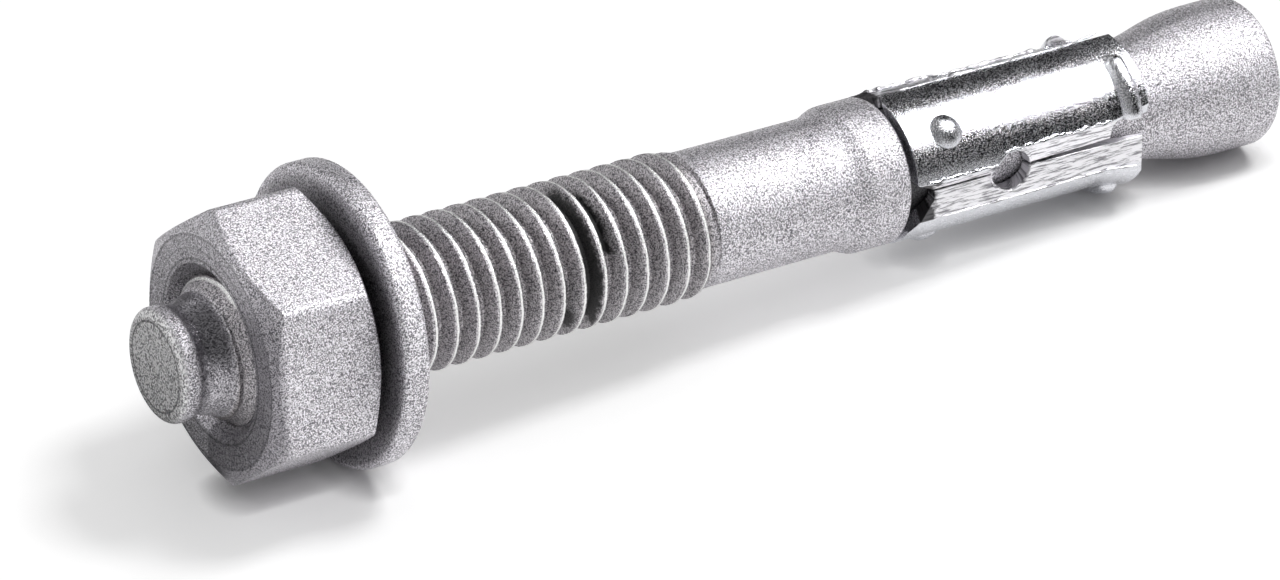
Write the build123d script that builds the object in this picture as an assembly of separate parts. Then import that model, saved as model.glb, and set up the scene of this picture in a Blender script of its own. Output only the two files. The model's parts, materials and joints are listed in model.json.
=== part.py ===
from build123d import *
from math import asin, cos, degrees, radians, sin, tan
import os

# A wedge anchor for masonry, M8. One cold-formed bolt carries everything: a plain dog point to
# hammer on, a rolled thread, a plain shank, a collar, a thin neck and an expansion cone. A
# stamped and rolled sleeve turns freely on the neck. A flat washer and a hex nut sit on the
# thread. When the nut is tightened, the cone is drawn into the sleeve and spreads it.
#
# Each piece is drawn about its own axis, +Z, which runs from the dog point to the cone. Angles
# round the axis are counted from +X. The last section lays the anchor down as it rests on a
# table: on the washer's rim and the cone's rim, with its axis along +X and dipping to the cone.
# Millimetres and degrees.

# Thread: metric, right-hand
NOMINAL_D = 8.0
PITCH = 1.25
FLANK_ANGLE = 30.0       # each flank, from a plane across the axis
CREST_UNDERSIZE = 0.2    # on diameter, as rolled
CREST_TURN = 127.0       # where the crest's middle crosses the plane of the dog point's end
FLANK_PLAY = 0.05        # nut to bolt, along the axis
NUT_CREST_PLAY = 0.12    # bolt's crest to the bottom of the nut's thread

# Bolt, from the dog point to the cone
DOG_D = 5.9
DOG_WAIST_D = 5.44
DOG_EDGE_R = 0.45
DOG_BAND = 0.8           # from the end to where the waist begins
DOG_WAIST = 1.35         # from the end to the waist's narrowest place
DOG_WAIST_R = 0.8
DOG_LENGTH = 2.75
START_D = 6.3            # where the dog point's flare meets the thread, inside the nut's bore
THREAD_LENGTH = 28.3     # run-out included
RUNOUT_LENGTH = 2.2
SHANK_D = 7.16
SHANK_LENGTH = 8.35
COLLAR_D = 7.9
COLLAR_RAMP = 0.85
COLLAR_LAND = 2.3
COLLAR_BLEND_R = 0.8
COLLAR_EDGE_R = 0.3
NECK_D = 5.8
NECK_BLEND_R = 0.2
CONE_D = 8.2
CONE_ANGLE = 13.0        # each side, from the axis
CONE_LENGTH = 9.1
CONE_ROOT_R = 5.0
CONE_SHOULDER_R = 12.0
CONE_EDGE_R = 0.5

# Expansion sleeve: one stamped sheet, rolled round the neck
SHEET = 1.0
SLEEVE_PLAY = 0.1        # round the neck
SLEEVE_GAP = 0.3         # to the collar
SLEEVE_LENGTH = 14.9
SEGMENTS = 3
SEAM_TURN = 87.8         # the open seam's place round the axis
SEAM_GAP = 0.12
FOLD_DEPTH = 0.45        # the coined valleys between segments
FOLD_BEFORE = 0.65       # the valley's width on the near side of the fold
FOLD_AFTER = 1.7         # and on the far side
FOLD_TAIL = 1.3          # its width on the near side behind the relief hole
RELIEF_D = 2.4           # round holes at the head of each slit
RELIEF_PLACE = 6.2       # from the sleeve's front edge
SLIT_HEAD = 0.15
SLIT_TAIL = 0.4
NOTCH_DEPTH = 1.35       # front notch at each fold
NOTCH_BEFORE = 0.7
NOTCH_AFTER = 2.3
NOTCH_FLOOR = 0.55
NOTCH_R = 0.35
TAIL_CUT = 2.2           # the corner cut from each segment's tail
TAIL_CUT_WIDTH = 1.25
TAIL_CUT_R = 0.5
FLARE_LENGTH = 2.3
FLARE_RISE = 0.3
DOME_D = 1.85
DOME_HEIGHT = 0.4
DOME_PLACE = 2.4         # from the sleeve's front edge
DOME_TURN = 15.0         # past the middle of the segment
RIDGE_WIDTH = 1.2
RIDGE_HEIGHT = 0.4
RIDGE_PLACE = 13.9       # from the sleeve's front edge
RIDGE_TURN = 19.0        # past the middle of the segment
RIDGE_SWEEP = 38.0

# Nut and washer
NUT_FLATS = 12.8
NUT_HEIGHT = 6.1
NUT_CORNER_R = 0.6
NUT_FACE_D = 12.1        # the round face that the chamfer leaves
NUT_CHAMFER = 30.0
NUT_SINK_D = 9.0
NUT_PLACE = 3.05         # outer face, from the dog point's end
NUT_TURN = 50.3          # a corner's place round the axis
WASHER_D = 15.7
WASHER_CLEARANCE = 0.4   # its hole over the thread's nominal diameter
WASHER_THICKNESS = 1.45
WASHER_EDGE_R = 0.3
WASHER_GAP = 0.35        # to the nut
WASHER_PLAY = 0.1        # under the thread, where it lies in the hole

# What follows from these
flank_slope = tan(radians(FLANK_ANGLE))
sharp_height = PITCH / 2 / flank_slope
pitch_r = NOMINAL_D / 2 - 3 / 8 * sharp_height
root_r = pitch_r - sharp_height / 3
nut_minor_r = pitch_r - sharp_height / 4
crest_r = (NOMINAL_D - CREST_UNDERSIZE) / 2
washer_hole_r = (NOMINAL_D + WASHER_CLEARANCE) / 2
shank_r = SHANK_D / 2
neck_r = NECK_D / 2
cone_r = CONE_D / 2
thread_end = DOG_LENGTH + THREAD_LENGTH
collar_start = thread_end + SHANK_LENGTH
collar_end = collar_start + COLLAR_RAMP + COLLAR_LAND
sleeve_start = collar_end + SLEEVE_GAP
neck_end = sleeve_start + SLEEVE_LENGTH
bolt_end = neck_end + CONE_LENGTH
bore_r = neck_r + SLEEVE_PLAY
sleeve_r = bore_r + SHEET
nut_end = NUT_PLACE + NUT_HEIGHT
washer_place = nut_end + WASHER_GAP + WASHER_THICKNESS / 2


def turned(corners):
    """A solid of revolution about +Z, from corners of radius, height and blend radius."""
    outline = make_face(Polyline(*[(radius, height) for radius, height, _ in corners], close=True))
    for radius, height, blend in corners:
        if blend > 0:
            corner = outline.vertices().sort_by_distance((radius, height))[0]
            outline = fillet(corner, blend)
    return revolve(Plane.XZ * outline, Axis.Z)


def threaded_rod(core_r, top_r, play, low, high):
    """A rod with the bolt's helical ridge on it, made thicker by play on both flanks."""
    foot_r = core_r - FLANK_PLAY
    foot = PITCH / 4 + (pitch_r - foot_r) * flank_slope + play
    top = PITCH / 4 + (pitch_r - top_r) * flank_slope + play
    outline = Polygon((0, -foot), (top_r - foot_r, -top), (top_r - foot_r, top), (0, foot), align=None)
    path = Helix(pitch=PITCH, height=high - low + 2 * PITCH, radius=foot_r)
    section = Plane(origin=path @ 0, x_dir=(1, 0, 0), z_dir=path % 0)
    ridge_low = low - PITCH
    turn = CREST_TURN + 360 * ridge_low / PITCH
    ridge = Pos(0, 0, ridge_low) * Rot(0, 0, turn) * sweep(section * outline, path=path, is_frenet=True)
    on_end = (Align.CENTER, Align.CENTER, Align.MIN)
    core = Pos(0, 0, low) * Cylinder(core_r, high - low, align=on_end)
    band = Pos(0, 0, low) * Cylinder(NOMINAL_D, high - low, align=on_end)
    return core + (ridge & band)


def bolt():
    """The bolt in one piece: turned ends with the rolled thread between them."""
    start_r = START_D / 2
    collar_r = COLLAR_D / 2
    runout_start = thread_end - RUNOUT_LENGTH
    dog_point = turned([
        (0, 0, 0),
        (DOG_D / 2, 0, DOG_EDGE_R),
        (DOG_D / 2, DOG_BAND, DOG_EDGE_R),
        (DOG_WAIST_D / 2, DOG_WAIST, DOG_WAIST_R),
        (start_r, DOG_LENGTH, 0),
        (DOG_D / 2, DOG_LENGTH + DOG_BAND, 0),
        (0, DOG_LENGTH + DOG_BAND, 0),
    ])
    cone_rise = (cone_r - neck_r) / tan(radians(CONE_ANGLE))
    body = turned([
        (0, runout_start, 0),
        (root_r, runout_start, 0),
        (shank_r, thread_end, 0),
        (shank_r, collar_start, COLLAR_BLEND_R),
        (collar_r, collar_start + COLLAR_RAMP, COLLAR_BLEND_R),
        (collar_r, collar_end, COLLAR_EDGE_R),
        (neck_r, collar_end, NECK_BLEND_R),
        (neck_r, neck_end, CONE_ROOT_R),
        (cone_r, neck_end + cone_rise, CONE_SHOULDER_R),
        (cone_r, bolt_end, CONE_EDGE_R),
        (0, bolt_end, 0),
    ])
    # The thread's crests rise from the dog point's flare and fade into the shank.
    thread = threaded_rod(root_r, crest_r, 0, DOG_LENGTH, thread_end)
    start_height = DOG_LENGTH + NOMINAL_D - start_r
    thread -= turned([
        (start_r, DOG_LENGTH, 0),
        (NOMINAL_D, start_height, 0),
        (NOMINAL_D, DOG_LENGTH, 0),
    ])
    thread -= turned([
        (shank_r, thread_end, 0),
        (2 * crest_r - shank_r, thread_end - 2 * PITCH, 0),
        (NOMINAL_D, thread_end - 2 * PITCH, 0),
        (NOMINAL_D, thread_end, 0),
    ])
    return thread + body + dog_point


def hex_nut():
    """The nut, with its own thread cut to run on the bolt's, and countersunk at both ends."""
    hexagon = RegularPolygon(NUT_FLATS / 2, 6, major_radius=False, rotation=NUT_TURN)
    blank = extrude(Pos(0, 0, NUT_PLACE) * fillet(hexagon.vertices(), NUT_CORNER_R), NUT_HEIGHT)
    face_r = NUT_FACE_D / 2
    corner_r = NUT_FLATS / 2 / cos(radians(30))
    drop = (corner_r - face_r) * tan(radians(NUT_CHAMFER))
    limits = turned([
        (0, NUT_PLACE, 0),
        (face_r, NUT_PLACE, 0),
        (corner_r, NUT_PLACE + drop, 0),
        (corner_r, nut_end - drop, 0),
        (face_r, nut_end, 0),
        (0, nut_end, 0),
    ])
    past = PITCH / 3
    tap = threaded_rod(nut_minor_r, crest_r + NUT_CREST_PLAY, FLANK_PLAY, NUT_PLACE - past, nut_end + past)
    sink_r = NUT_SINK_D / 2
    sinks = [
        turned([(0, NUT_PLACE + sink_r, 0), (sink_r + past, NUT_PLACE - past, 0), (0, NUT_PLACE - past, 0)]),
        turned([(0, nut_end - sink_r, 0), (sink_r + past, nut_end + past, 0), (0, nut_end + past, 0)]),
    ]
    return (blank & limits) - tap - sinks[0] - sinks[1]


def washer():
    """The washer about its own middle."""
    half = WASHER_THICKNESS / 2
    rim_r = WASHER_D / 2
    return turned([
        (washer_hole_r, -half, 0),
        (rim_r, -half, WASHER_EDGE_R),
        (rim_r, half, WASHER_EDGE_R),
        (washer_hole_r, half, 0),
    ])


def across_sheet(turn, corners):
    """A cutter through one side of the sleeve, from corners round and along the sheet."""
    angle = radians(turn)
    outward = (cos(angle), sin(angle), 0)
    along_sheet = (-sin(angle), cos(angle), 0)
    face = Plane(origin=(0, 0, sleeve_start), x_dir=along_sheet, z_dir=outward)
    outline = make_face(Polyline(*[(x, y) for x, y, _ in corners], close=True))
    for x, y, blend in corners:
        if blend > 0:
            corner = outline.vertices().sort_by_distance((x, y))[0]
            outline = fillet(corner, blend)
    return extrude(face * outline, 2 * sleeve_r)


def valley(turn, before, low, high):
    """A cutter for the valley coined at a fold, between two places along the sleeve."""
    bottom = Vector(sleeve_r - FOLD_DEPTH, 0, 0)
    corners = [bottom]
    for width in (-before, FOLD_AFTER):
        angle = width / sleeve_r
        edge = Vector(sleeve_r * cos(angle), sleeve_r * sin(angle), 0)
        side = bottom + (edge - bottom) * 2
        corners += [side, Vector(2 * sleeve_r, side.Y, 0)]
    near, near_outer, far, far_outer = corners[1:]
    outline = Polygon(bottom, near, near_outer, far_outer, far, align=None)
    place = Pos(0, 0, sleeve_start + low) * Rot(0, 0, turn)
    return extrude(place * outline, high - low)


def opening_cutter(turn, open_seam):
    """The notch, relief hole, slit and cut corner where two segments meet."""
    notch = across_sheet(turn, [
        (-NOTCH_BEFORE, -SLEEVE_GAP, 0),
        (-NOTCH_BEFORE, 0, 0),
        (0, NOTCH_DEPTH, NOTCH_R),
        (NOTCH_FLOOR, NOTCH_DEPTH, NOTCH_R),
        (NOTCH_AFTER, 0, 0),
        (NOTCH_AFTER, -SLEEVE_GAP, 0),
    ])
    slit = across_sheet(turn, [
        (-SLIT_HEAD / 2, RELIEF_PLACE, 0),
        (SLIT_HEAD / 2, RELIEF_PLACE, 0),
        (SLIT_TAIL / 2, SLEEVE_LENGTH, 0),
        (-SLIT_TAIL / 2, SLEEVE_LENGTH, 0),
    ])
    tail = across_sheet(turn, [
        (0, SLEEVE_LENGTH - TAIL_CUT, 0),
        (0, SLEEVE_LENGTH, 0),
        (-TAIL_CUT_WIDTH, SLEEVE_LENGTH, 0),
        (-TAIL_CUT_WIDTH, SLEEVE_LENGTH - TAIL_CUT, TAIL_CUT_R),
    ])
    angle = radians(turn)
    outward = (cos(angle), sin(angle), 0)
    drill = Plane(origin=(0, 0, sleeve_start + RELIEF_PLACE), z_dir=outward)
    relief = extrude(drill * Circle(RELIEF_D / 2), 2 * sleeve_r)
    cutter = notch + slit + tail + relief
    if open_seam:
        cutter += across_sheet(turn, [
            (-SEAM_GAP / 2, 0, 0),
            (SEAM_GAP / 2, 0, 0),
            (SEAM_GAP / 2, RELIEF_PLACE, 0),
            (-SEAM_GAP / 2, RELIEF_PLACE, 0),
        ])
    return cutter


def cap_radius(width, height):
    """The radius of the arc that is this wide and this high."""
    return (width ** 2 / 4 + height ** 2) / (2 * height)


def dome(turn):
    """A dimple pressed outward, with half the sheet under it as its root."""
    root = SHEET / 2
    half = DOME_D / 2
    side = Line((half, -root), (half, 0))
    cap = RadiusArc((half, 0), (0, DOME_HEIGHT), -cap_radius(DOME_D, DOME_HEIGHT))
    outline = make_face(side + cap + Polyline((0, DOME_HEIGHT), (0, -root), (half, -root)))
    button = revolve(Plane.XZ * outline, Axis.Z)
    place = Pos(sleeve_r, 0, sleeve_start + DOME_PLACE) * Rot(0, 90, 0)
    return Rot(0, 0, turn + DOME_TURN) * place * button


def ridge(turn):
    """A rib pressed outward round the sheet near its tail, with rounded ends."""
    bulge_r = cap_radius(RIDGE_WIDTH, RIDGE_HEIGHT)
    past_flare = RIDGE_PLACE - (SLEEVE_LENGTH - FLARE_LENGTH)
    outer_r = sleeve_r + FLARE_RISE * past_flare / FLARE_LENGTH
    middle_r = outer_r + RIDGE_HEIGHT - bulge_r
    height = sleeve_start + RIDGE_PLACE
    start = Rot(0, 0, turn + RIDGE_TURN - RIDGE_SWEEP / 2) * Pos(middle_r, 0, height)
    end = Rot(0, 0, turn + RIDGE_TURN + RIDGE_SWEEP / 2) * Pos(middle_r, 0, height)
    arc = revolve(start * Rot(90, 0, 0) * Circle(bulge_r), Axis.Z, RIDGE_SWEEP)
    return arc + start * Sphere(bulge_r) + end * Sphere(bulge_r)


def expansion_sleeve():
    """The sheet rolled round the neck: valleys, raised marks, then everything cut through."""
    flare_start = neck_end - FLARE_LENGTH
    sheet = turned([
        (bore_r, sleeve_start, 0),
        (sleeve_r, sleeve_start, 0),
        (sleeve_r, flare_start, 0),
        (sleeve_r + FLARE_RISE, neck_end, 0),
        (bore_r + FLARE_RISE, neck_end, 0),
        (bore_r, flare_start, 0),
    ])
    folds = [SEAM_TURN + 360 / SEGMENTS * n for n in range(SEGMENTS)]
    for turn in folds:
        sheet -= valley(turn, FOLD_BEFORE, -SLEEVE_GAP, RELIEF_PLACE)
        sheet -= valley(turn, FOLD_TAIL, RELIEF_PLACE, SLEEVE_LENGTH + SLEEVE_GAP)
    for turn in folds:
        middle = turn + 180 / SEGMENTS
        sheet += dome(middle)
        sheet += ridge(middle)
    for turn in folds:
        sheet -= opening_cutter(turn, turn == SEAM_TURN)
    return sheet


# Lying down. The thread lies in the washer's hole, so the washer's middle is a little above the
# bolt's axis. The feet are the washer's rim, at its rear edge, and the cone's rim. How far each
# foot lies below the axis depends on the dip, so the dip is found by turns.
thread_drop = washer_hole_r - crest_r - WASHER_PLAY
dip = 0.0
for _ in range(8):
    washer_foot = WASHER_EDGE_R + (WASHER_D / 2 - WASHER_EDGE_R - thread_drop) * cos(dip)
    washer_foot += (WASHER_THICKNESS / 2 - WASHER_EDGE_R) * sin(dip)
    cone_foot = CONE_EDGE_R + (cone_r - CONE_EDGE_R) * cos(dip)
    dip = asin((washer_foot - cone_foot) / (bolt_end - CONE_EDGE_R - washer_place))
dog_height = washer_foot + washer_place * sin(dip)
dog_corner_r = DOG_D / 2 - DOG_EDGE_R
first_x = DOG_EDGE_R * cos(dip) - dog_corner_r * sin(dip) - DOG_EDGE_R
last_x = (bolt_end - CONE_EDGE_R) * cos(dip) + (cone_r - CONE_EDGE_R) * sin(dip) + CONE_EDGE_R
middle_x = (first_x + last_x) / 2
along_axis = (cos(dip), 0, -sin(dip))
straight_up = (sin(dip), 0, cos(dip))
laid = Plane(origin=(-middle_x, 0, dog_height), x_dir=straight_up, z_dir=along_axis).location

pieces = {
    "anchor_bolt": laid * bolt(),
    "expansion_sleeve": laid * expansion_sleeve(),
    "flat_washer": laid * Pos(thread_drop, 0, washer_place) * Rot(0, 0, 180) * washer(),
    "hex_nut": laid * hex_nut(),
}

os.makedirs("parts", exist_ok=True)
for name, piece in pieces.items():
    piece.label = name
    export_step(piece, f"parts/{name}.step")
    print(f"{name}: {piece.volume:.1f} mm3")
print(f"dip {degrees(dip):.3f} degrees, dog point's end at {-middle_x:.3f}, {dog_height:.3f}")
print(f"axis {along_axis}, overall length {last_x - first_x:.3f}")
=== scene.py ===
# %% [markdown]
# # A wedge anchor, dressed for its picture
# The solids come from a CAD model: a bolt with its dog point, thread, collar, neck and cone in
# one piece, a stamped sleeve rolled round the neck, a flat washer and a hex nut. They arrive at
# their true size and place, in metres, and nothing here moves them. This lesson gives them
# their finishes, adds what a press and a plating bath leave behind, and lights them.

# %% Load the frame
import json
import math
import random

import bmesh
import bpy
from mathutils import Matrix, Vector


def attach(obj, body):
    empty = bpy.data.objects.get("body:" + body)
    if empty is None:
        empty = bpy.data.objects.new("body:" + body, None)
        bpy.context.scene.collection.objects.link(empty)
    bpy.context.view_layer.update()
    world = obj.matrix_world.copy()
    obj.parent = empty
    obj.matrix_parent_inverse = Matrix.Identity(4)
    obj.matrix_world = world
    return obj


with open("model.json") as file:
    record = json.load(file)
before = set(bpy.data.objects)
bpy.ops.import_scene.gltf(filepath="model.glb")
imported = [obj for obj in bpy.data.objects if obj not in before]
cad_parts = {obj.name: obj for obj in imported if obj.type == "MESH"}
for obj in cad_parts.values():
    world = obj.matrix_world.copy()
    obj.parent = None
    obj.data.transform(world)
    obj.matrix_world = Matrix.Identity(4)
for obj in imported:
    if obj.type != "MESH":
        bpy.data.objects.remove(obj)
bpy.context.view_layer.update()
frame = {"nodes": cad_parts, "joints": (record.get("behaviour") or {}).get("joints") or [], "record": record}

# %% [markdown]
# ## Where things are along the bolt
# The anchor lies on a table, so its axis dips a little and isn't one of the scene's own axes.
# Finishes such as a worn crest or a painted mark follow the bolt, so they need its axis, the
# middle of the dog point's end and a direction that counts as the top. These could be typed in,
# but the frame knows them: the nut travels along the axis, and the dog point's mount lies on it.

# %% The bolt's axis
MM = 0.001
DOG_MOUNT_ALONG = 0.625

travel = next(j for j in frame["joints"] if j["name"] == "nut_travel")
AXIS = Vector(travel["axis"]).normalized()
mounts = {m["name"]: m for m in frame["record"]["mounts"]}
dog_mount = Vector(mounts["dog_point"]["pos_m"])
DOG_END = dog_mount - AXIS * DOG_MOUNT_ALONG * MM
SIDE = Vector((0, -1, 0))
TOP = SIDE.cross(AXIS).normalized()
print("axis", [round(v, 4) for v in AXIS], "dog end", [round(v, 5) for v in DOG_END], "top", TOP)


# %% A point on the bolt
def on_bolt(along, radius=0.0, turn=0.0):
    """A point in the scene from millimetres along and off the axis, and degrees from the top."""
    angle = math.radians(turn)
    off_axis = TOP * math.cos(angle) + SIDE * math.sin(angle)
    return DOG_END + AXIS * along * MM + off_axis * radius * MM


print("a point on the thread", [round(v, 5) for v in on_bolt(20.0, 3.9)])

# %% [markdown]
# ## Small helpers for shader nodes
# Every finish is a node tree. Nodes can be placed by hand in the editor, but a script says
# exactly what it did, and it can be run again. These helpers add a node, set its values and join
# sockets, so that each finish below reads as a list of what it is made of.

# %% Adding and joining nodes
def add_node(tree, kind, **settings):
    """A new node of a kind, with its properties set."""
    node = tree.nodes.new(kind)
    for name, value in settings.items():
        setattr(node, name, value)
    return node


def feed(tree, value, target):
    """Give an input socket a number, a colour or another node's output."""
    if isinstance(value, (int, float)):
        target.default_value = value
    elif isinstance(value, tuple):
        target.default_value = (*value, 1.0)
    else:
        tree.links.new(value, target)


# %% Sums and steps
def arithmetic(tree, operation, *values, clamp=False):
    """A Math node whose inputs are sockets or numbers. Returns its output."""
    node = add_node(tree, "ShaderNodeMath", operation=operation, use_clamp=clamp)
    for value, target in zip(values, node.inputs):
        feed(tree, value, target)
    return node.outputs[0]


def product(tree, first, *others):
    """Everything multiplied together, such as masks that must all hold."""
    for other in others:
        first = arithmetic(tree, "MULTIPLY", first, other)
    return first


def smooth_step(tree, value, none, full):
    """0 where the value is none, 1 where it is full, and a smooth change between them."""
    node = add_node(tree, "ShaderNodeMapRange", interpolation_type="SMOOTHSTEP")
    feed(tree, value, node.inputs["Value"])
    feed(tree, none, node.inputs["From Min"])
    feed(tree, full, node.inputs["From Max"])
    return node.outputs["Result"]


def around(middle, edge):
    """Where a soft edge near a middle has its mask at 0, then at 1."""
    return middle + edge[0], middle + edge[1]


def between(tree, value, rise, fall):
    """1 from a rise to a fall. Each is the value where the mask is 0, then where it is 1."""
    return product(tree, smooth_step(tree, value, *rise), smooth_step(tree, value, *fall))


# %% Mixing
def mix_colours(tree, factor, first, second, blend="MIX"):
    """Two colours, as sockets or tuples, mixed by a factor."""
    node = add_node(tree, "ShaderNodeMix", data_type="RGBA", blend_type=blend)
    feed(tree, factor, node.inputs[0])
    feed(tree, first, node.inputs[6])
    feed(tree, second, node.inputs[7])
    return node.outputs[2]


# %% Noise over the piece
def own_place(tree):
    """Where a point is on its own piece, so that a pattern travels with the piece."""
    return add_node(tree, "ShaderNodeTexCoord").outputs["Object"]


def noise(tree, coordinates, scale, detail=2.0, roughness=0.5):
    """A Noise Texture's value at a scale in cells per metre."""
    node = add_node(tree, "ShaderNodeTexNoise")
    feed(tree, coordinates, node.inputs["Vector"])
    feed(tree, scale, node.inputs["Scale"])
    feed(tree, detail, node.inputs["Detail"])
    feed(tree, roughness, node.inputs["Roughness"])
    return node.outputs["Fac"]


# %% Groups and materials
def new_group(name, inputs, outputs, kind="NodeSocketFloat"):
    """An empty shader node group with float inputs. Returns its tree and its two end nodes."""
    tree = bpy.data.node_groups.new(name, "ShaderNodeTree")
    for label, value in inputs.items():
        socket = tree.interface.new_socket(label, in_out="INPUT", socket_type="NodeSocketFloat")
        socket.default_value = value
    for label in outputs:
        tree.interface.new_socket(label, in_out="OUTPUT", socket_type=kind)
    return tree, add_node(tree, "NodeGroupInput"), add_node(tree, "NodeGroupOutput")


def use_group(tree, group, **values):
    """The group placed in a tree, with its inputs set to numbers or sockets."""
    node = add_node(tree, "ShaderNodeGroup", node_tree=group)
    for label, value in values.items():
        feed(tree, value, node.inputs[label])
    return node


def new_material(name):
    """A material with its node tree and its Principled shader."""
    material = bpy.data.materials.new(name)
    material.use_nodes = True
    return material, material.node_tree, material.node_tree.nodes["Principled BSDF"]


# %% [markdown]
# ## A place-on-the-bolt group
# Several finishes ask how far along the bolt a point is, how far off its axis and how far round
# it. A UV map could answer, but one would have to be made for each solid. A single group
# answers from the object's own coordinates instead, so the answer travels with a piece that
# turns or slides.

# %% Group: place on the bolt
def make_place_group():
    """Along and Radius in millimetres, and Turn in degrees from the top towards the near side."""
    tree, _, out = new_group("place_on_bolt", {}, ["Along", "Radius", "Turn"])
    from_end = add_node(tree, "ShaderNodeVectorMath", operation="SUBTRACT")
    feed(tree, own_place(tree), from_end.inputs[0])
    from_end.inputs[1].default_value = DOG_END
    parts = []
    for direction in (AXIS, TOP, SIDE):
        part = add_node(tree, "ShaderNodeVectorMath", operation="DOT_PRODUCT")
        feed(tree, from_end.outputs[0], part.inputs[0])
        part.inputs[1].default_value = direction
        parts.append(arithmetic(tree, "DIVIDE", part.outputs["Value"], MM))
    along, up, near = parts
    square = arithmetic(tree, "ADD", product(tree, up, up), product(tree, near, near))
    angle = arithmetic(tree, "DEGREES", arithmetic(tree, "ARCTAN2", near, up))
    feed(tree, along, out.inputs["Along"])
    feed(tree, arithmetic(tree, "SQRT", square), out.inputs["Radius"])
    feed(tree, angle, out.inputs["Turn"])
    return tree


PLACE = make_place_group()
print("group", PLACE.name, "gives", [s.name for s in PLACE.interface.items_tree])


# %% [markdown]
# ## A zinc grain group
# Sherardized and mechanically plated zinc is a crust of tiny grains. Seen close, it glitters:
# each grain catches or loses the light by itself. An image would repeat and stretch over these
# solids, so the pattern is made of noise. Fine noise gives the grains, a second noise gathers
# them into flecks, and a third, much broader one keeps the tone from being even. A few pits are
# darker still. Colour and bump use the same pattern, so that light and relief agree.

# %% Group: zinc grain
GRAIN_EDGES, FLECK_EDGES, PIT_EDGES = (0.34, 0.66), (0.35, 0.65), (0.27, 0.2)
FLECK_SCALE, FLECK_SHARE = 0.4, 0.14
DRIFT_SCALE, DRIFT_SHARE = 0.03, 0.35
PIT_SCALE = 0.55
MID_TONE = 0.5


def make_grain_group():
    """Tone and Height from 0 to 1 for grains of Size millimetres, and where the pits are."""
    given_at_first = {"Size": 0.08, "Contrast": 1.0}
    tree, given, out = new_group("zinc_grain", given_at_first, ["Tone", "Height", "Pit"])
    where = own_place(tree)
    scale = arithmetic(tree, "DIVIDE", 1 / MM, given.outputs["Size"])
    grains = smooth_step(tree, noise(tree, where, scale, 3.0, 0.7), *GRAIN_EDGES)
    fleck_noise = noise(tree, where, product(tree, scale, FLECK_SCALE), 2.0, 0.6)
    flecks = smooth_step(tree, fleck_noise, *FLECK_EDGES)
    broad = noise(tree, where, product(tree, scale, DRIFT_SCALE))
    pit_noise = noise(tree, where, product(tree, scale, PIT_SCALE), 0.0)
    shares = product(tree, grains, 1 - FLECK_SHARE), product(tree, flecks, FLECK_SHARE)
    both = arithmetic(tree, "ADD", *shares)
    swing = product(tree, arithmetic(tree, "SUBTRACT", both, MID_TONE), given.outputs["Contrast"])
    drift = product(tree, arithmetic(tree, "SUBTRACT", broad, MID_TONE), DRIFT_SHARE)
    tone = arithmetic(tree, "ADD", arithmetic(tree, "ADD", swing, drift), MID_TONE, clamp=True)
    feed(tree, tone, out.inputs["Tone"])
    feed(tree, both, out.inputs["Height"])
    feed(tree, smooth_step(tree, pit_noise, *PIT_EDGES), out.inputs["Pit"])
    return tree


GRAIN = make_grain_group()
print("group", GRAIN.name, "gives", [s.name for s in GRAIN.interface.items_tree])


# %% [markdown]
# ## A turned ring group
# A face that was cut in a lathe or struck by a round die keeps fine rings about the axis. They
# are far too shallow to model, so each is a thin mask that a finish darkens. The nut's face has
# a few of them, and the dog point's end has one.

# %% Group: turned ring
FACE_DEPTH = 0.1
RING_CORE = 0.4


def make_ring_group():
    """Mask of a ring At millimetres off the axis, on what lies before Face along the bolt."""
    at_first = {"Along": 0.0, "Radius": 0.0, "At": 1.0, "Width": 0.1, "Face": 0.0}
    tree, given, out = new_group("turned_ring", at_first, ["Mask"])
    along, radius, at, width, face = (given.outputs[label] for label in at_first)
    off = arithmetic(tree, "ABSOLUTE", arithmetic(tree, "SUBTRACT", radius, at))
    on_face = smooth_step(tree, along, arithmetic(tree, "ADD", face, FACE_DEPTH), face)
    ring = smooth_step(tree, off, width, product(tree, width, RING_CORE))
    feed(tree, product(tree, ring, on_face), out.inputs["Mask"])
    return tree


RING = make_ring_group()
print("group", RING.name, "gives", [s.name for s in RING.interface.items_tree])


# %% [markdown]
# ## A relief group
# Plating rounds every hard edge a little and leaves a skin with a relief of its own. Cutting
# both into the mesh would take millions of faces. A Bevel node rounds the edges in the light
# alone and leaves the solid as it is, and a Bump node lays the relief over it. Every finish
# needs the pair, so it is a group that gives out a normal.

# %% Group: relief
BEVEL_SAMPLES = 4


def make_relief_group():
    """Normal of a Height of Depth millimetres, over edges rounded by Edge millimetres."""
    at_first = {"Height": 0.5, "Depth": 0.01, "Edge": 0.1, "Strength": 1.0}
    tree, given, out = new_group("relief", at_first, ["Normal"], "NodeSocketVector")
    rounded = add_node(tree, "ShaderNodeBevel", samples=BEVEL_SAMPLES)
    feed(tree, product(tree, given.outputs["Edge"], MM), rounded.inputs["Radius"])
    bump = add_node(tree, "ShaderNodeBump")
    feed(tree, product(tree, given.outputs["Depth"], MM), bump.inputs["Distance"])
    feed(tree, given.outputs["Strength"], bump.inputs["Strength"])
    feed(tree, given.outputs["Height"], bump.inputs["Height"])
    feed(tree, rounded.outputs["Normal"], bump.inputs["Normal"])
    feed(tree, bump.outputs["Normal"], out.inputs["Normal"])
    return tree


RELIEF = make_relief_group()
print("group", RELIEF.name, "gives", [s.name for s in RELIEF.interface.items_tree])
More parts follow.
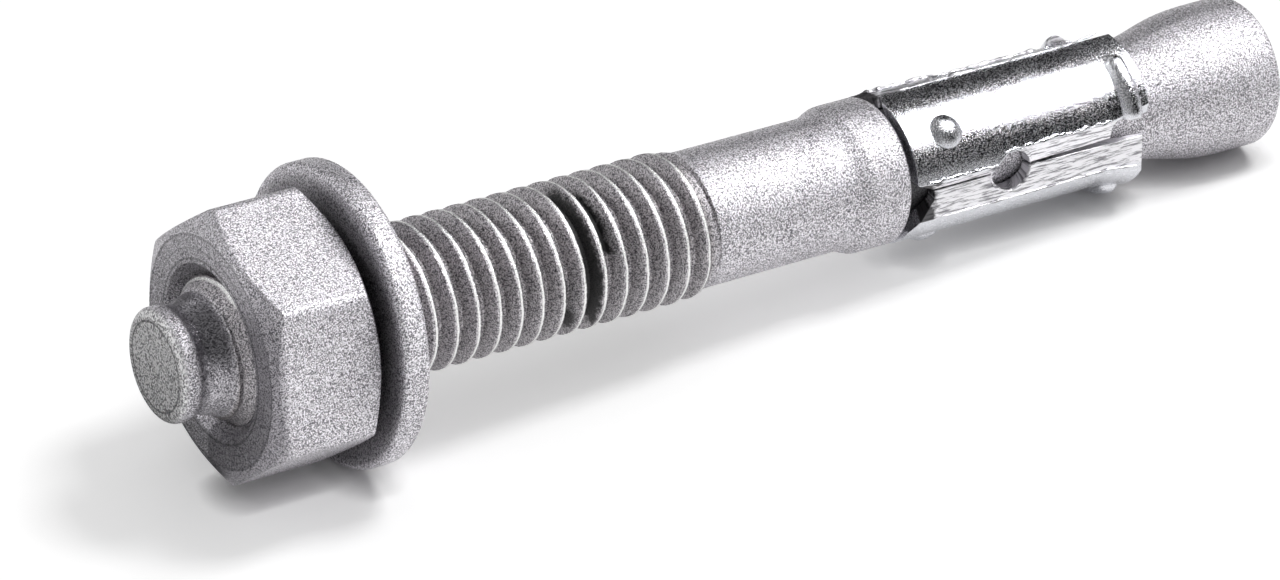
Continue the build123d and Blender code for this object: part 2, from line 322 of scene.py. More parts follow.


# %% [markdown]
# ## A thread group
# A rolled thread catches light and shade by its profile, and the finish paints both in: the far
# edge of each crest is painted bright, a painted highlight, and the root beyond it is painted
# dark, a painted shade. Height alone can't tell the two sides of a crest apart, so the group
# counts turns of the helix instead. Winding is a whole number at the far edge of every crest, and
# its fraction runs from there through the groove to the next crest.
# A little noise keeps the edges from being drawn with a ruler.

# %% Group: thread
PITCH = 1.25
CREST_EDGE = 0.93
THREAD_FROM, THREAD_TO = 2.7, 30.9
THREAD_MASK_START, THREAD_MASK_END = (0.0, 0.2), (0.0, -0.8)
CREST_JITTER_SCALE, CREST_JITTER_REACH = 900.0, 0.14
CREST_RISE, CREST_FALL = (0.86, 0.93), (1.0, 0.975)
ROOT_RISE, ROOT_FALL = (0.62, 0.12), (0.0, 0.03)


def make_thread_group():
    """Winding in turns of the helix, and the Crest and Root masks."""
    outputs = ["Winding", "Crest", "Root"]
    tree, given, out = new_group("thread_painted_light", {"Along": 0.0, "Turn": 0.0}, outputs)
    along = given.outputs["Along"]
    climb = product(tree, given.outputs["Turn"], PITCH / 360)
    unwound = arithmetic(tree, "SUBTRACT", arithmetic(tree, "SUBTRACT", along, climb), CREST_EDGE)
    winding = arithmetic(tree, "DIVIDE", unwound, PITCH)
    ends = around(THREAD_FROM, THREAD_MASK_START), around(THREAD_TO, THREAD_MASK_END)
    inside = between(tree, along, *ends)
    coarse = noise(tree, own_place(tree), CREST_JITTER_SCALE, 3.0, 0.6)
    crest_jitter = product(tree, arithmetic(tree, "SUBTRACT", coarse, MID_TONE), CREST_JITTER_REACH)
    jittered_phase = arithmetic(tree, "FRACT", arithmetic(tree, "ADD", winding, crest_jitter))
    crest_highlight = between(tree, jittered_phase, CREST_RISE, CREST_FALL)
    root_shade = between(tree, arithmetic(tree, "FRACT", winding), ROOT_RISE, ROOT_FALL)
    feed(tree, winding, out.inputs["Winding"])
    feed(tree, product(tree, inside, crest_highlight), out.inputs["Crest"])
    feed(tree, product(tree, inside, root_shade), out.inputs["Root"])
    return tree


THREAD = make_thread_group()
print("group", THREAD.name, "gives", [s.name for s in THREAD.interface.items_tree])


# %% [markdown]
# ## The zinc coat
# The bolt, the nut and the washer share one kind of finish: grey metal under a grainy crust. A
# metallic Principled shader with middling roughness gives the soft broad glow, and the grain
# group breaks it up in colour, in roughness and in relief. Without it the metal would look like
# chrome, or like grey paint if it were rougher. A lighter grain is also a little smoother.

# %% Zinc coat
ZINC_DARK = (0.186, 0.18, 0.197)
ZINC_LIGHT = (0.98, 0.95, 1.0)
PIT_COLOUR = (0.3, 0.29, 0.31)
TOOL_MARK = (0.05, 0.05, 0.055)
ZINC_METALLIC = 0.82
POLISH = 0.12


def zinc(name, roughness, size=0.08, depth=0.014, edge=0.12, contrast=2.5):
    """A zinc finish: its material, tree, shader, colour and roughness sockets and relief."""
    material, tree, shader = new_material(name)
    shader.inputs["Metallic"].default_value = ZINC_METALLIC
    grain = use_group(tree, GRAIN, Size=size, Contrast=contrast)
    tone = grain.outputs["Tone"]
    colour = mix_colours(tree, tone, ZINC_DARK, ZINC_LIGHT)
    colour = mix_colours(tree, grain.outputs["Pit"], colour, PIT_COLOUR, "MULTIPLY")
    rough = arithmetic(tree, "ADD", product(tree, tone, -POLISH), roughness + POLISH / 2)
    relief = use_group(tree, RELIEF, Height=grain.outputs["Height"], Depth=depth, Edge=edge)
    feed(tree, colour, shader.inputs["Base Color"])
    feed(tree, rough, shader.inputs["Roughness"])
    feed(tree, relief.outputs["Normal"], shader.inputs["Normal"])
    return material, tree, shader, colour, rough, relief


print("zinc from", ZINC_DARK, "to", ZINC_LIGHT)

# %% [markdown]
# ## The nut's zinc
# A nut's outer face is cut and chamfered in a lathe, so it shows turned rings. They could be
# cut as grooves, but that would change the CAD solid, so the ring group darkens them. The face
# is also painted darker than the flats, most of all on its near side: a painted shade. The coat
# is the shared one with a slightly finer grain and rounder edges.

# %% Nut zinc
NUT_FACE = 3.15
NUT_FACE_EDGE = (0.75, 0.15)
NUT_FACE_PAINTED_SHADE = (0.4, 0.395, 0.41)
SHADE_LEAST, SHADE_MORE = 0.15, 0.6
NEAR_SIDE_TURN = (20.0, 60.0)
FACE_RINGS = ((4.72, 0.09, 0.5), (5.25, 0.06, 0.3), (5.95, 0.08, 0.35))

nut_zinc, tree, shader, colour, _, _ = zinc("nut_zinc", 0.46, size=0.074, edge=0.2, depth=0.012)
place = use_group(tree, PLACE)
along, radius = place.outputs["Along"], place.outputs["Radius"]
turned_face = smooth_step(tree, along, *around(NUT_FACE, NUT_FACE_EDGE))
# The face is painted darker, most of all on its near side: a painted shade.
near_side = smooth_step(tree, place.outputs["Turn"], *NEAR_SIDE_TURN)
shade = arithmetic(tree, "MULTIPLY_ADD", near_side, SHADE_MORE, SHADE_LEAST)
colour = mix_colours(tree, product(tree, turned_face, shade), colour, NUT_FACE_PAINTED_SHADE, "MULTIPLY")
for at, width, strength in FACE_RINGS:
    ring = use_group(tree, RING, Along=along, Radius=radius, At=at, Width=width, Face=NUT_FACE)
    depth = product(tree, ring.outputs["Mask"], strength)
    colour = mix_colours(tree, depth, colour, TOOL_MARK)
feed(tree, colour, shader.inputs["Base Color"])
print("rings on the nut's face", len(FACE_RINGS))

# %% [markdown]
# ## The washer's zinc
# The washer has the boldest grain. Beside the nut its face is painted with a dark ring in the
# narrow gap: a painted shade. The ring could be left to the shadow there, but broad lamps reach
# into it, so the finish paints it dark as well.

# %% Washer zinc
WASHER_FACE = 9.5
WASHER_FACE_EDGE = (0.25, 0.05)
GAP_PAINTED_SHADE = (0.22, 0.215, 0.225)
GAP_STRENGTH = 0.75
GAP_FROM, GAP_TO = 6.9, 7.75

washer_zinc, tree, shader, colour, _, _ = zinc("washer_zinc", 0.43, contrast=3.4)
place = use_group(tree, PLACE)
face_edge = around(WASHER_FACE, WASHER_FACE_EDGE)
nut_side = smooth_step(tree, place.outputs["Along"], *face_edge)
# A dark ring in the gap beside the nut: painted shade.
in_the_gap = smooth_step(tree, place.outputs["Radius"], GAP_TO, GAP_FROM)
painted_gap_shade = product(tree, nut_side, in_the_gap, GAP_STRENGTH)
colour = mix_colours(tree, painted_gap_shade, colour, GAP_PAINTED_SHADE, "MULTIPLY")
feed(tree, colour, shader.inputs["Base Color"])
print("grease between", GAP_FROM, "and", GAP_TO, "mm off the axis")

# %% [markdown]
# ## The smudge on the thread
# A greasy black smudge crosses a few turns of the thread on the near side, thickest in the
# grooves. It could be an image laid over the bolt, but a smudge that sits in grooves follows the
# helix, so each streak is given by its two edges in windings and its two ends in degrees. One
# noise frays all of these edges.

# %% The smudge's streaks
STREAKS = (
    (18.02, 18.56, -4.0, 68.0, 1.0),
    (17.02, 17.72, -12.0, 92.0, 0.93),
    (17.10, 17.78, 55.0, 132.0, 0.95),
    (16.04, 16.42, 80.0, 112.0, 0.85),
    (16.05, 16.70, 108.0, 138.0, 0.9),
)
FRAY_SCALE = 2200.0
FRAY_ACROSS, FRAY_ROUND = 0.42, 30.0
LOW_EDGE, HIGH_EDGE = (-0.05, 0.05), (0.09, -0.07)
START_EDGE, END_EDGE = (-5, 9), (5, -7)


def streak(tree, winding, turn, low, high, start, end, strength):
    """A black streak in one groove, from its edges in windings and its ends in degrees."""
    across = between(tree, winding, around(low, LOW_EDGE), around(high, HIGH_EDGE))
    round_it = between(tree, turn, around(start, START_EDGE), around(end, END_EDGE))
    return product(tree, across, round_it, strength)


def smudge(tree, winding, turn):
    """Where the black smudge lies: the darkest of its streaks, with ragged edges."""
    fine = noise(tree, own_place(tree), FRAY_SCALE, 4.0, 0.65)
    fine = arithmetic(tree, "SUBTRACT", fine, MID_TONE)
    ragged = arithmetic(tree, "ADD", winding, product(tree, fine, FRAY_ACROSS))
    uneven = arithmetic(tree, "ADD", turn, product(tree, fine, FRAY_ROUND))
    dark = 0.0
    for measures in STREAKS:
        dark = arithmetic(tree, "MAXIMUM", streak(tree, ragged, uneven, *measures), dark)
    return dark


print("smudge streaks", len(STREAKS))

# %% [markdown]
# ## The bolt's zinc
# The bolt adds to the coat, one mask after another: the whole thread is a little duller, its
# roots are painted dark as a painted shade, and the far edges of its crests are painted bright as
# a painted highlight and made smoother. The waist of the dog point is smoother, and its colour
# is painted darker, most of all on its upper side: a painted shade. The end has a coarser grain
# with one fine ring, and is painted lighter: a painted light. Under the sleeve's front edge the
# neck is painted near black: a painted shade. The smudge comes last, because it lies on top of
# everything. All this could be painted on by hand, but masks that are worked out from the place
# on the bolt follow the thread and stay sharp at any size.

# %% Bolt zinc: the thread
THREAD_TINT = (0.74, 0.73, 0.72)
ROOT_PAINTED_SHADE = (0.34, 0.32, 0.3)
CREST_PAINTED_HIGHLIGHT = (1.0, 1.0, 0.99)
TINT_START, TINT_END = (0.0, 0.3), (0.0, -0.6)
TINT_STRENGTH, ROOT_SHADE_STRENGTH = 0.9, 0.75

bolt_zinc, tree, shader, colour, rough, relief = zinc("bolt_zinc", 0.42, edge=0.05)
place = use_group(tree, PLACE)
along, radius, turn = (place.outputs[label] for label in ("Along", "Radius", "Turn"))
thread = use_group(tree, THREAD, Along=along, Turn=turn)
crest, root = thread.outputs["Crest"], thread.outputs["Root"]
ends = around(THREAD_FROM, TINT_START), around(THREAD_TO, TINT_END)
tinted = product(tree, between(tree, along, *ends), TINT_STRENGTH)
colour = mix_colours(tree, tinted, colour, THREAD_TINT, "MULTIPLY")
# The roots are painted dark: a painted shade.
painted_root_shade = product(tree, root, ROOT_SHADE_STRENGTH)
colour = mix_colours(tree, painted_root_shade, colour, ROOT_PAINTED_SHADE, "MULTIPLY")
# The far edges of the crests are painted bright: a painted highlight.
colour = mix_colours(tree, crest, colour, CREST_PAINTED_HIGHLIGHT)
print("thread from", THREAD_FROM, "to", THREAD_TO, "mm")

# %% Bolt zinc: the dog point
WAIST_RISE, WAIST_FALL = (0.7, 1.2), (2.9, 2.4)
WAIST_MIDDLE, WAIST_REACH = 5.0, (115.0, 45.0)
UNDERSIDE_SHARE = 0.2
WAIST_PAINTED_SHADE, WAIST_SHADE_STRENGTH = (0.4, 0.4, 0.41), 0.9
RELIEF_LOST = 0.55
END_RISE = (0.35, 0.05)
END_DARK, END_LIGHT = (0.22, 0.215, 0.225), (1.0, 0.99, 1.0)
END_GRAIN, END_CONTRAST, END_TONES = 0.11, 2.0, (0.1, 0.6)
END_FACE, END_RING_R, END_RING_WIDTH, END_RING_STRENGTH = 0.1, 2.32, 0.07, 0.6

off_middle = arithmetic(tree, "ABSOLUTE", arithmetic(tree, "SUBTRACT", turn, WAIST_MIDDLE))
upper_side = product(tree, smooth_step(tree, off_middle, *WAIST_REACH), 1 - UNDERSIDE_SHARE)
upper_side = arithmetic(tree, "ADD", upper_side, UNDERSIDE_SHARE)
waist = product(tree, between(tree, along, WAIST_RISE, WAIST_FALL), upper_side)
# The waist's colour is painted darker, most of all on its upper side: a painted shade.
painted_waist_shade = product(tree, waist, WAIST_SHADE_STRENGTH)
colour = mix_colours(tree, painted_waist_shade, colour, WAIST_PAINTED_SHADE, "MULTIPLY")
# The end has a coarser grain and is painted lighter than the coat: a painted light.
end_tone = use_group(tree, GRAIN, Size=END_GRAIN, Contrast=END_CONTRAST).outputs["Tone"]
end_painted_lighter = mix_colours(tree, smooth_step(tree, end_tone, *END_TONES), END_DARK, END_LIGHT)
colour = mix_colours(tree, smooth_step(tree, along, *END_RISE), colour, end_painted_lighter)
ring = use_group(tree, RING, Along=along, Radius=radius, At=END_RING_R, Width=END_RING_WIDTH)
ring.inputs["Face"].default_value = END_FACE
end_ring = product(tree, ring.outputs["Mask"], END_RING_STRENGTH)
colour = mix_colours(tree, end_ring, colour, TOOL_MARK)
smoothed = arithmetic(tree, "SUBTRACT", 1.0, product(tree, waist, RELIEF_LOST))
feed(tree, smoothed, relief.inputs["Strength"])
print("waist from", WAIST_RISE[0], "to", WAIST_FALL[0], "mm")

# %% Bolt zinc: painted shade, smudge and roughness
NECK_PAINTED_SHADE, NECK_SHADE_STRENGTH = (0.03, 0.03, 0.032), 0.85
NECK_RADII = (3.7, 3.4)
NECK_SHADE_RISE, NECK_SHADE_FALL = (42.5, 42.75), (46.2, 45.4)
GREASE = (0.006, 0.006, 0.0065)
BARE_METALLIC = 0.85
CREST_POLISH, WAIST_POLISH = 0.1, 0.17

# Under the sleeve's front edge the neck is painted near black: a painted shade.
on_neck = smooth_step(tree, radius, *NECK_RADII)
at_front = between(tree, along, NECK_SHADE_RISE, NECK_SHADE_FALL)
painted_neck_shade = product(tree, at_front, on_neck, NECK_SHADE_STRENGTH)
colour = mix_colours(tree, painted_neck_shade, colour, NECK_PAINTED_SHADE)
black = smudge(tree, thread.outputs["Winding"], turn)
colour = mix_colours(tree, black, colour, GREASE)
rough = arithmetic(tree, "SUBTRACT", rough, product(tree, crest, CREST_POLISH))
rough = arithmetic(tree, "SUBTRACT", rough, product(tree, waist, WAIST_POLISH))
bare = arithmetic(tree, "SUBTRACT", BARE_METALLIC, product(tree, black, BARE_METALLIC))
feed(tree, colour, shader.inputs["Base Color"])
feed(tree, rough, shader.inputs["Roughness"])
feed(tree, bare, shader.inputs["Metallic"])
print("nodes in", bolt_zinc.name, len(tree.nodes))

# %% [markdown]
# ## Where the press coined the sleeve
# The sleeve was stamped flat before it was rolled. Beside each of its three folds the press
# coined a strip, from a little before the fold to well past it. Behind the relief hole it starts
# further before the fold. The strips could be faces with a material of their own, but the CAD
# mesh stays as it is, so a mask finds them by their turn from the nearest fold.

# %% Coined strips
FOLD_TURN = 87.8
FOLD_STEP = 120.0
STRIP_BEFORE, STRIP_AFTER = 9.0, 25.0
NEAR_EDGE, FAR_EDGE = (-0.6, 0.9), (0.8, -0.8)
RELIEF_ALONG = 49.0
BEHIND_HOLE = (0.0, 0.6)


def coined(tree, place):
    """1 on the coined strips beside the folds."""
    shifted = arithmetic(tree, "ADD", place.outputs["Turn"], FOLD_STEP / 2 - FOLD_TURN + 360)
    within = arithmetic(tree, "MODULO", shifted, FOLD_STEP)
    from_fold = arithmetic(tree, "SUBTRACT", within, FOLD_STEP / 2)
    behind = smooth_step(tree, place.outputs["Along"], *around(RELIEF_ALONG, BEHIND_HOLE))
    before = arithmetic(tree, "MULTIPLY_ADD", behind, -STRIP_BEFORE, -STRIP_BEFORE)
    near_edge = arithmetic(tree, "SUBTRACT", from_fold, before)
    near_side = smooth_step(tree, near_edge, *NEAR_EDGE)
    far_side = smooth_step(tree, from_fold, *around(STRIP_AFTER, FAR_EDGE))
    return product(tree, near_side, far_side)


print("strips", STRIP_BEFORE, "degrees before each fold and", STRIP_AFTER, "after")

# %% [markdown]
# ## The sleeve's plating
# The sleeve is bright zinc plate on smooth strip steel, so it mirrors its surroundings: a white
# lamp, dark cards, the pale table. Tiny pits speckle those reflections, because a pit is rough
# and gathers light from all round. On the coined strips the plate is duller and scored
# lengthwise. At the sleeve's front end, by the notch, the strips are painted near black: a
# painted shade. Its ragged edge could be cut into the sheet, but that would change the CAD solid,
# so a noise draws it instead.

# %% Sleeve plate: colour
PLATE, SPECK = (0.66, 0.665, 0.7), (0.93, 0.93, 0.97)
SPECK_SIZE, SPECK_TONES = 0.066, (0.61, 0.75)
SCORED, UNSCORED = (0.3, 0.295, 0.315), (0.98, 0.97, 1.0)
SCORE_ALONG, SCORE_ROUND = 0.12, 0.09
SCORE_SCALE, SCORE_TONES = 6.0, (0.39, 0.53)
FRONT_PAINTED_SHADE, FRONT_SHADE_STRENGTH = (0.035, 0.034, 0.036), 0.9
FRONT_SHADE_TO, FRONT_SHADE_EDGE = 45.4, (0.25, -0.25)
FRONT_FRAY_SCALE, FRONT_FRAY_REACH = 1400.0, 2.4

sleeve_plate, tree, shader = new_material("sleeve_plate")
shader.inputs["Metallic"].default_value = 1.0
place = use_group(tree, PLACE)
strip = coined(tree, place)
pits = use_group(tree, GRAIN, Size=SPECK_SIZE, Contrast=1.0)
specks = smooth_step(tree, pits.outputs["Tone"], *SPECK_TONES)
lengthwise = add_node(tree, "ShaderNodeCombineXYZ")
feed(tree, product(tree, place.outputs["Along"], SCORE_ALONG), lengthwise.inputs["X"])
feed(tree, product(tree, place.outputs["Turn"], SCORE_ROUND), lengthwise.inputs["Y"])
score_noise = noise(tree, lengthwise.outputs[0], SCORE_SCALE, 4.0, 0.65)
scores = smooth_step(tree, score_noise, *SCORE_TONES)
plate = mix_colours(tree, specks, PLATE, SPECK)
dull = mix_colours(tree, scores, SCORED, UNSCORED)
coat = mix_colours(tree, strip, plate, dull)
front_fray = noise(tree, own_place(tree), FRONT_FRAY_SCALE, 3.0, 0.6)
ragged = arithmetic(tree, "MULTIPLY_ADD", front_fray, FRONT_FRAY_REACH, place.outputs["Along"])
at_front = smooth_step(tree, ragged, *around(FRONT_SHADE_TO, FRONT_SHADE_EDGE))
# The strips' front end by the notch is painted near black: a painted shade.
painted_front_shade = product(tree, strip, at_front, FRONT_SHADE_STRENGTH)
coat = mix_colours(tree, painted_front_shade, coat, FRONT_PAINTED_SHADE)
feed(tree, coat, shader.inputs["Base Color"])
print("nodes in", sleeve_plate.name, len(tree.nodes))

# %% Sleeve plate: roughness and relief
PLATE_ROUGHNESS, SPECK_ROUGHNESS = 0.08, 0.3
STRIP_ROUGHNESS = 0.42
PLATE_DEPTH, PLATE_EDGE = 0.005, 0.07


def mix_values(tree, factor, first, second):
    """Two values, as sockets or numbers, mixed by a factor."""
    node = add_node(tree, "ShaderNodeMix", data_type="FLOAT")
    feed(tree, factor, node.inputs[0])
    feed(tree, first, node.inputs[2])
    feed(tree, second, node.inputs[3])
    return node.outputs[0]


speckled = arithmetic(tree, "ADD", product(tree, specks, SPECK_ROUGHNESS), PLATE_ROUGHNESS)
feed(tree, mix_values(tree, strip, speckled, STRIP_ROUGHNESS), shader.inputs["Roughness"])
height = mix_values(tree, strip, pits.outputs["Height"], scores)
relief = use_group(tree, RELIEF, Height=height, Depth=PLATE_DEPTH, Edge=PLATE_EDGE)
feed(tree, relief.outputs["Normal"], shader.inputs["Normal"])
print("roughness from", PLATE_ROUGHNESS, "to", STRIP_ROUGHNESS)

# %% [markdown]
# ## Who wears what
# The solids come with plain materials. Each could be changed in place, but a finish is easier
# to follow when it is built by itself, so each solid gives up its material and takes its
# finish. The meshes and their places stay as they are.

# %% The solids' materials
for node, material in (
    ("anchor_bolt", bolt_zinc),
    ("hex_nut", nut_zinc),
    ("flat_washer", washer_zinc),
    ("expansion_sleeve", sleeve_plate),
):
    solid = frame["nodes"][node]
    solid.data.materials.clear()
    solid.data.materials.append(material)
    print(node, "wears", material.name)

# %% [markdown]
# ## Burrs on the sleeve
# The press leaves a burr wherever it shears or coins the strip: a ragged, rolled-over lip beside
# each fold and a raised rim round each relief hole. They could be painted as bump, but a lip
# catches light and casts a shadow from every side, so each one is a thin tube along the edge,
# thick in one place and nearly gone in the next. Its roots sink into the sheet.

# %% Where the sheet's skin is
SLEEVE_FROM, SLEEVE_TO = 42.85, 57.75
SKIN_R = 4.0
FLARE_FROM, FLARE_RISE = 55.45, 0.3
FOLD_DEPTH = 0.45
FOLD_BEFORE, FOLD_TAIL, FOLD_AFTER = 0.65, 1.3, 1.7
FOLDS = [FOLD_TURN + FOLD_STEP * n for n in range(3)]


def skin(along, arc, fold):
    """A point on the sleeve, arc millimetres round it from a fold, down in the coined valley."""
    before = FOLD_TAIL if along > RELIEF_ALONG else FOLD_BEFORE
    width = FOLD_AFTER if arc > 0 else before
    depth = FOLD_DEPTH * max(0.0, 1 - abs(arc) / width)
    flare = FLARE_RISE * max(0.0, (along - FLARE_FROM) / (SLEEVE_TO - FLARE_FROM))
    return on_bolt(along, SKIN_R - depth + flare, fold + math.degrees(arc / SKIN_R))


print("skin at the near fold's edge", [round(v, 4) for v in skin(45.0, -FOLD_BEFORE, FOLDS[0])])

# %% Lines that the burrs follow
RELIEF_R = 1.2
RIM_OFF = 0.07
RIM_SHIFT = 0.05


def lip(fold, arc, start, end, step=0.16):
    """Points along one straight edge beside a fold."""
    count = int((end - start) / step)
    return [skin(start + (end - start) * i / count, arc, fold) for i in range(count + 1)]


def rim(fold, count=40):
    """Points round a relief hole, from its cone side and back to it."""
    reach = RELIEF_R + RIM_OFF
    points = []
    for i in range(count + 1):
        angle = 2 * math.pi * i / count
        along = RELIEF_ALONG + RIM_SHIFT + reach * math.cos(angle)
        points.append(skin(along, reach * math.sin(angle), fold))
    return points


print("points round a relief hole", len(rim(FOLDS[0])))

# %% Ragged tubes
LIP_SIDES = 7
LIP_SPREAD = 1.25
SWELL_LEAST, SWELL_MOST, SWELL_PACE = 0.05, 1.6, 0.6
TAPER_FROM, TAPER_STEP = 0.3, 0.35
WANDER = 0.5
CORNER_LEAST, CORNER_MOST = 0.8, 1.2


def ragged_tube(mesh, points, radius, chance):
    """Add a tube along points, out of round and uneven, with closed ends, to a bmesh."""
    rings = []
    swell = 1.0
    last = len(points) - 1
    for i, point in enumerate(points):
        ahead = points[min(i + 1, last)] - points[max(i - 1, 0)]
        ahead.normalize()
        outward = (point - DOG_END) - AXIS * (point - DOG_END).dot(AXIS)
        outward.normalize()
        across = ahead.cross(outward)
        swell += (chance.uniform(SWELL_LEAST, SWELL_MOST) - swell) * SWELL_PACE
        taper = min(1.0, TAPER_FROM + TAPER_STEP * min(i, last - i))
        middle = point + across * chance.uniform(-WANDER, WANDER) * radius * MM
        ring = []
        for k in range(LIP_SIDES):
            angle = 2 * math.pi * k / LIP_SIDES
            corner = chance.uniform(CORNER_LEAST, CORNER_MOST)
            reach = radius * MM * swell * taper * corner
            up = outward * reach * math.cos(angle)
            sideways = across * reach * math.sin(angle) * LIP_SPREAD
            ring.append(mesh.verts.new(middle + up + sideways))
        rings.append(ring)
    for one, other in zip(rings, rings[1:]):
        for k in range(LIP_SIDES):
            n = (k + 1) % LIP_SIDES
            mesh.faces.new((one[k], one[n], other[n], other[k]))
    mesh.faces.new(rings[0][::-1])
    mesh.faces.new(rings[-1])


print("sides of a lip", LIP_SIDES)

# %% The three sets of burrs
LIP_R = 0.13
FIRST_SEED = 11
HOLE_GAP = 1.0
RIM_SHARE = 0.85
# Each lip: its distance from the fold, its two ends along the bolt, its share of LIP_R.
LIPS = (
    (-FOLD_BEFORE, SLEEVE_FROM + 0.5, RELIEF_ALONG - HOLE_GAP, 1.0),
    (-FOLD_TAIL, RELIEF_ALONG + HOLE_GAP - 0.4, SLEEVE_TO - 2.3, 1.0),
    (FOLD_AFTER, SLEEVE_FROM + 1.6, SLEEVE_TO - 0.3, 0.5),
)


def burrs(name, fold, seed):
    """All the burrs of one fold as one piece that rides on the sleeve."""
    chance = random.Random(seed)
    mesh = bmesh.new()
    for arc, start, end, share in LIPS:
        ragged_tube(mesh, lip(fold, arc, start, end), LIP_R * share, chance)
    ragged_tube(mesh, rim(fold), LIP_R * RIM_SHARE, chance)
    bmesh.ops.recalc_face_normals(mesh, faces=mesh.faces)
    data = bpy.data.meshes.new(name)
    mesh.to_mesh(data)
    mesh.free()
    for face in data.polygons:
        face.use_smooth = True
    data.materials.append(sleeve_plate)
    piece = bpy.data.objects.new(name, data)
    bpy.context.scene.collection.objects.link(piece)
    rounder = piece.modifiers.new("rounder", "SUBSURF")
    rounder.levels = rounder.render_levels = 1
    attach(piece, "sleeve")
    return piece


burr_pieces = [burrs(f"sleeve_burrs_{n + 1}", fold, FIRST_SEED + n) for n, fold in enumerate(FOLDS)]
print("burrs", [piece.name for piece in burr_pieces])

# %% [markdown]
# ## The floor
# A plain pale table. A sheet that only glows would be white too, but it would take no shadow.
# So the diffuse part carries the shadow, and a little glow lifts it to white. The glow is there
# for the rays that show a background, which are the camera's and those that metal or glass
# sends on, and it fades close under whatever stands on the table. Diffuse rays don't see it, so
# it lights no matt surface. Metal mirrors it, and so shows the white table.

# %% Rays that show a background
def background_rays(tree):
    """1 for the rays that show a background: the camera's, and those metal or glass sends on."""
    path = add_node(tree, "ShaderNodeLightPath")
    glossy, through = path.outputs["Is Glossy Ray"], path.outputs["Is Transmission Ray"]
    mirrored = arithmetic(tree, "MAXIMUM", glossy, through)
    return arithmetic(tree, "MAXIMUM", path.outputs["Is Camera Ray"], mirrored)


# %% Floor
FLOOR_COLOUR = (0.86, 0.86, 0.86, 1.0)
FLOOR_GLOW = 0.39
FLOOR_REACH = 3.0
CONTACT_REACH = 1.7
CONTACT_FALL = 3.0
CONTACT_SAMPLES = 8
MATT_ROUGHNESS = 0.9
CORNERS = ((-1, -1), (1, -1), (1, 1), (-1, 1))


def matt(name, colour):
    """A material with no shine at all, for what isn't part of the object."""
    material, tree, shader = new_material(name)
    shader.inputs["Base Color"].default_value = colour
    shader.inputs["Roughness"].default_value = MATT_ROUGHNESS
    shader.inputs["Specular IOR Level"].default_value = 0.0
    return material, tree, shader


def flat_sheet(name, reach_x, reach_y, material):
    """A flat rectangle about the origin."""
    mesh = bpy.data.meshes.new(name)
    mesh.from_pydata([(x * reach_x, y * reach_y, 0) for x, y in CORNERS], [], [(0, 1, 2, 3)])
    mesh.materials.append(material)
    sheet = bpy.data.objects.new(name, mesh)
    bpy.context.scene.collection.objects.link(sheet)
    return sheet


pale_table, tree, shader = matt("pale_table", FLOOR_COLOUR)
glow = add_node(tree, "ShaderNodeEmission")
# Where the glow fades close under the object, it leaves a painted contact shadow on the table.
near = add_node(tree, "ShaderNodeAmbientOcclusion", samples=CONTACT_SAMPLES)
near.inputs["Distance"].default_value = CONTACT_REACH * MM
open_air = arithmetic(tree, "POWER", near.outputs["AO"], CONTACT_FALL)
shown = product(tree, background_rays(tree), FLOOR_GLOW, open_air)
feed(tree, shown, glow.inputs["Strength"])
both = add_node(tree, "ShaderNodeAddShader")
feed(tree, shader.outputs[0], both.inputs[0])
feed(tree, glow.outputs[0], both.inputs[1])
feed(tree, both.outputs[0], tree.nodes["Material Output"].inputs["Surface"])
floor = flat_sheet("floor", FLOOR_REACH, FLOOR_REACH, pale_table)
print("floor at height", floor.location.z)

# %% [markdown]
# ## The world
# A room gives a little light from everywhere. It could be a picture of a studio, but plain
# white at a quarter strength fills the shadows softly and favours no side. It is the same for
# every ray, so what metal mirrors is what lights it.

# %% World
AMBIENT = 0.25

world = bpy.data.worlds.new("studio")
bpy.context.scene.world = world
world.use_nodes = True
background = world.node_tree.nodes["Background"]
background.inputs["Color"].default_value = (1, 1, 1, 1)
background.inputs["Strength"].default_value = AMBIENT
print("ambient light", AMBIENT)

# %% [markdown]
# ## The lamps
# Round metal shows a lamp as a bright band along its length, so the key lamp is a narrow
# softbox, up towards the cone and a little to the near side. Its short side lies across the
# bolt and keeps the band thin. Weaker softboxes behind, to the left and in front fill the rest,
# and the front one leaves out the sleeve, which would mirror it. The table has two lamps of its
# own, one for the edge of the shadow and a broad one that softens it. Light linking keeps each
# lamp to what it is meant for.

# %% Softboxes
MIDDLE = Vector((0, 0, 5 * MM))


def face(thing, towards):
    """Turn a lamp or a card so that its own Z axis points along a direction."""
    thing.rotation_mode = "QUATERNION"
    thing.rotation_quaternion = towards.to_track_quat("Z", "Y")


def softbox(name, direction, distance, size, power, receivers):
    """A rectangular lamp that faces the object from a direction and lights some objects only."""
    data = bpy.data.lights.new(name, "AREA")
    data.shape = "RECTANGLE"
    data.size, data.size_y = size
    data.energy = power
    lamp = bpy.data.objects.new(name, data)
    bpy.context.scene.collection.objects.link(lamp)
    towards = Vector(direction).normalized()
    lamp.location = MIDDLE + towards * distance
    face(lamp, towards)
    lit = bpy.data.collections.new("lit_by_" + name)
    for receiver in receivers:
        lit.objects.link(receiver)
    lamp.light_linking.receiver_collection = lit
    return lamp


anchor = [*frame["nodes"].values(), *burr_pieces]
zinc_solids = [frame["nodes"][node] for node in ("anchor_bolt", "hex_nut", "flat_washer")]
lamps = [
    softbox("key", (0.62, -0.2, 0.78), 0.4, (0.07, 0.2), 1.75, anchor),
    softbox("back", (0.0, 0.8, 0.6), 0.5, (0.3, 0.16), 0.22, anchor),
    softbox("left", (-0.75, 0.4, 0.55), 0.5, (0.25, 0.2), 0.5, anchor),
    softbox("front", (0.5, -0.85, 0.15), 0.6, (0.4, 0.25), 0.78, zinc_solids),
    softbox("table", (0.5, -0.12, 1.0), 1.5, (0.4, 0.4), 8.6, [floor]),
    softbox("ceiling", (0.0, 0.0, 1.0), 1.0, (1.6, 1.6), 3.6, [floor]),
]
print("lamps", [lamp.name for lamp in lamps])

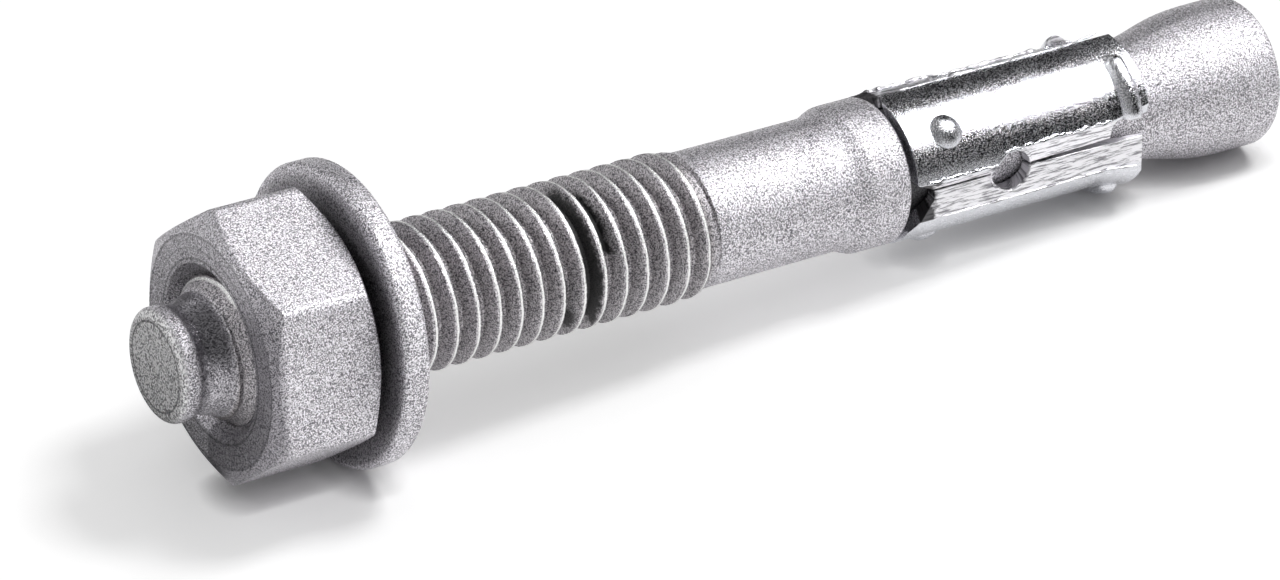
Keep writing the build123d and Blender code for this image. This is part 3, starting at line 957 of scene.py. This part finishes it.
# %% [markdown]
# ## Dark cards
# Bright metal in a bright room looks like nothing at all: it needs something dark to show beside
# the band of light. A photographer stands black cards out of the picture for that. These do the
# same: a large one on the far side, another on the near side, a small one close by the sleeve
# and one low over the table beside the dog point. Only mirrored rays see them, so they take no
# light away.

# %% Cards
CARD_BLACK = (0.015, 0.015, 0.015, 1)


def black_card(name, middle, towards, size):
    """A dark card about a middle, in millimetres, that faces along towards."""
    width, height = size
    material, _, _ = matt(name, CARD_BLACK)
    card = flat_sheet(name, width * MM / 2, height * MM / 2, material)
    card.location = Vector(middle) * MM
    face(card, Vector(towards))
    card.visible_camera = False
    card.visible_diffuse = False
    card.visible_shadow = False
    return card


cards = [
    black_card("card_back", (260, 375, 230), (-0.5, -0.75, -0.45), (1200, 500)),
    black_card("card_front", (210, -288, 274), (-0.465, 0.64, -0.61), (520, 260)),
    black_card("card_by_sleeve", (37, -36, 9.5), (-0.5, 0.87, 0), (52, 23)),
    black_card("card_on_table", (-39, 13, 0.2), (0, 0, 1), (22, 26)),
]
print("cards", [card.name for card in cards])

# %% [markdown]
# ## The camera
# A long lens from the dog point's side, looking down at about thirty degrees. A shorter lens
# would make the nut loom over the cone. The aim is where the middle of the picture meets the
# plane through the bolt's axis, and depth of field stays off.

# %% Camera
AZIMUTH = math.radians(33.147)
ELEVATION = math.radians(31.671)
ROLL = math.radians(0.177)
AIM = Vector((-5.23, 0, 3.14)) * MM
DISTANCE = 312.85 * MM
FOCAL_LENGTH = 171.76
SENSOR_WIDTH = 36.0

lens = bpy.data.cameras.new("camera")
lens.lens = FOCAL_LENGTH
lens.sensor_width = SENSOR_WIDTH
lens.clip_start = 0.01
camera = bpy.data.objects.new("camera", lens)
bpy.context.scene.collection.objects.link(camera)
look = Vector((
    math.sin(AZIMUTH) * math.cos(ELEVATION),
    math.cos(AZIMUTH) * math.cos(ELEVATION),
    -math.sin(ELEVATION),
))
camera.location = AIM - look * DISTANCE
camera.rotation_mode = "QUATERNION"
roll = Matrix.Rotation(ROLL, 4, look).to_quaternion()
camera.rotation_quaternion = roll @ look.to_track_quat("-Z", "Y")
bpy.context.scene.camera = camera
bpy.context.scene.view_settings.view_transform = "Standard"
print("camera at", [round(v, 4) for v in camera.location])
